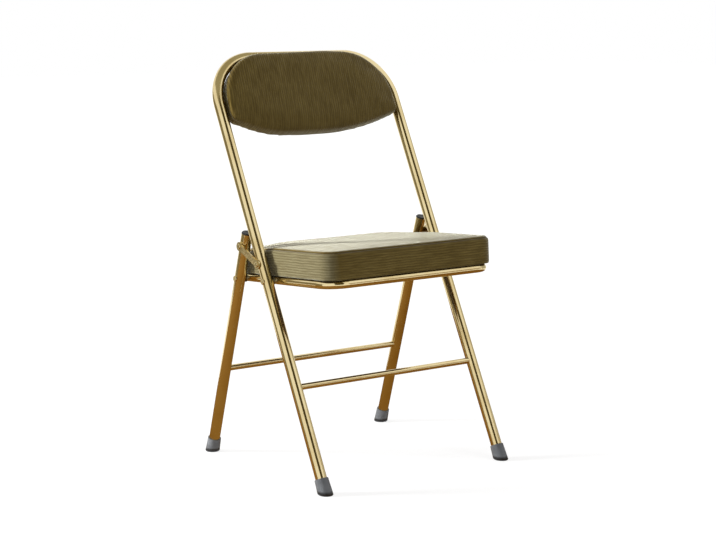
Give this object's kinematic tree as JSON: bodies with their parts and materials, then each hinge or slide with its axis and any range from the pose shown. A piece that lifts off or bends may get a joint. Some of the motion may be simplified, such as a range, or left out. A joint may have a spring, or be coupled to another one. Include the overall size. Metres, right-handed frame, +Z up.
{
  "type": "folding cafe chair",
  "caption": "Folding chair with a bent tube front frame, rear legs on flat side links, a padded seat on a tube ring and a padded back in the frame's loop.",
  "frame": {"origin": "on the floor, at the middle of the chair's footprint", "axes": "+Z up, the chair faces -Y, +X to the right seen from the front"},
  "size_m": [0.4606, 0.429, 0.8024],
  "materials": {
    "gold_tube": "polished gold plating on steel tube",
    "gold_plate": "polished gold plating on stamped steel",
    "corduroy": "fine ribbed corduroy",
    "plywood": "plain plywood",
    "foot_plastic": "satin moulded plastic",
    "steel": "zinc plated"
  },
  "bodies": {
    "front_frame": {"front_frame_tube": "gold_tube", "front_crossbar": "gold_tube", "front_foot_left": "foot_plastic", "front_foot_right": "foot_plastic", "backrest_board": "plywood", "backrest_cushion": "corduroy", "backrest_rear_cover": "corduroy", "backrest_tabs": "gold_plate", "backrest_screws": "steel", "link_lower_rivets": "gold_plate"},
    "seat": {"seat_ring": "gold_tube", "seat_board": "plywood", "seat_cushion": "corduroy", "seat_front_rivets": "gold_plate", "seat_rear_rivets": "gold_plate", "seat_washers": "steel", "seat_tabs": "gold_plate", "seat_screws": "steel"},
    "rear_legs": {"rear_leg_left": "gold_tube", "rear_leg_right": "gold_tube", "rear_crossbar": "gold_tube", "rear_foot_left": "foot_plastic", "rear_foot_right": "foot_plastic", "rear_leg_plug_left": "foot_plastic", "rear_leg_plug_right": "foot_plastic"},
    "links": {"link_left": "gold_plate", "link_right": "gold_plate", "link_upper_rivets": "gold_plate"}
  },
  "joints": [
    {"name": "seat_fold", "type": "hinge", "parent": "front_frame", "child": "seat", "pos_m": [0, -0.00894, 0.376], "axis": [-1, 0, 0], "range_deg": [0, 92]},
    {"name": "rear_leg_fold", "type": "hinge", "parent": "seat", "child": "rear_legs", "pos_m": [0, 0.08844, 0.36919], "axis": [1, 0, 0], "range_deg": [0, 48.38]},
    {"name": "link_swing", "type": "hinge", "parent": "front_frame", "child": "links", "pos_m": [0, 0.007, 0.4075], "axis": [-1, 0, 0], "range_deg": [0, 109.81]}
  ],
  "couplings": [
    {"joint": "rear_leg_fold", "follows": "seat_fold", "ratio": 0.52532},
    {"joint": "link_swing", "follows": "seat_fold", "ratio": 1.193}
  ]
}
